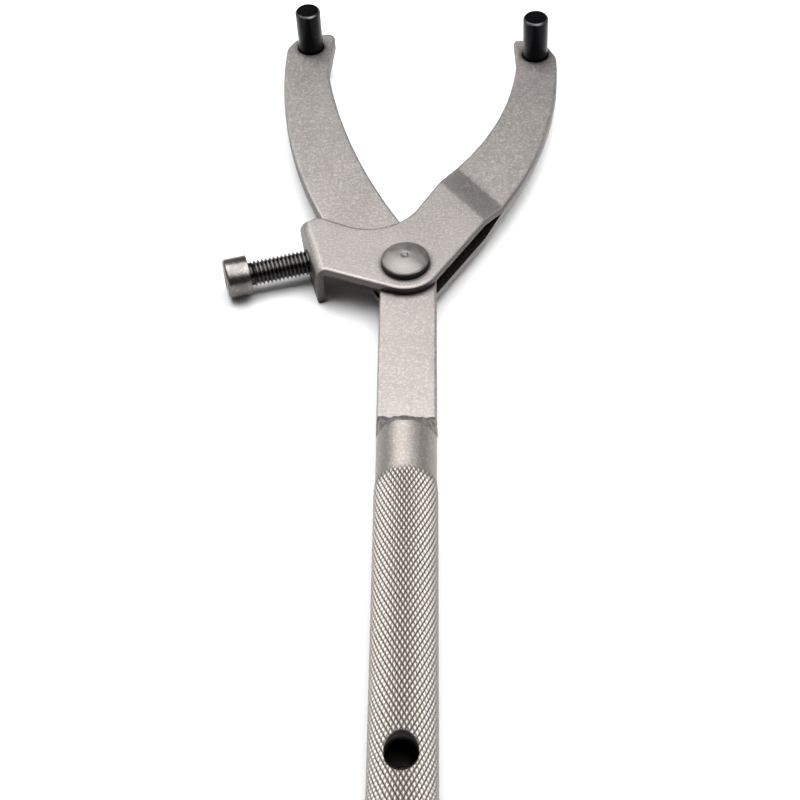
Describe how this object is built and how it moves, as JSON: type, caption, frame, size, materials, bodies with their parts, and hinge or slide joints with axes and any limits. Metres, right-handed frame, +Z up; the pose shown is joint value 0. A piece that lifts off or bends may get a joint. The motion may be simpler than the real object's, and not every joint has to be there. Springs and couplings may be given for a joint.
{
  "type": "adjustable two-pin holding wrench",
  "caption": "Y-shaped holding wrench: a fixed and a pivoting jaw, each with an upright pin, a stop screw that sets the jaw opening, and a knurled tube handle.",
  "frame": {"origin": "centre of the bounding box's underside, on the table that the tool lies on", "axes": "+Y from the handle to the jaws, +Z up along the working pins, +X to the moving jaw's side"},
  "size_m": [0.1086, 0.3196, 0.027],
  "materials": {
    "blasted_steel": "bead blasted satin",
    "grip_steel": "knurled, satin",
    "weld_metal": "as welded",
    "rivet_steel": "turned, satin",
    "black_oxide": "black oxide",
    "screw_steel": "phosphated, satin"
  },
  "bodies": {
    "fixed_jaw": {"fixed_arm": "blasted_steel", "handle_tube": "grip_steel", "weld_top": "weld_metal", "weld_bottom": "weld_metal", "fixed_pin": "black_oxide"},
    "moving_jaw": {"moving_arm_upper_plate": "blasted_steel", "moving_arm_lower_plate": "blasted_steel", "pivot_rivet": "rivet_steel", "moving_pin": "black_oxide"},
    "screw": {"adjusting_screw": "screw_steel"}
  },
  "joints": [
    {"name": "jaw_swing", "type": "hinge", "parent": "fixed_jaw", "child": "moving_jaw", "pos_m": [0.00356, 0.04167, 0.009], "axis": [0, 0, 1], "range_deg": [-9, 30]},
    {"name": "screw_feed", "type": "slide", "parent": "moving_jaw", "child": "screw", "axis": [0.9659, 0.2588, 0], "range_m": [-0.003, 0.009]}
  ],
  "couplings": [
    {"joint": "screw_feed", "follows": "jaw_swing", "m_per_rad": 0.017}
  ]
}
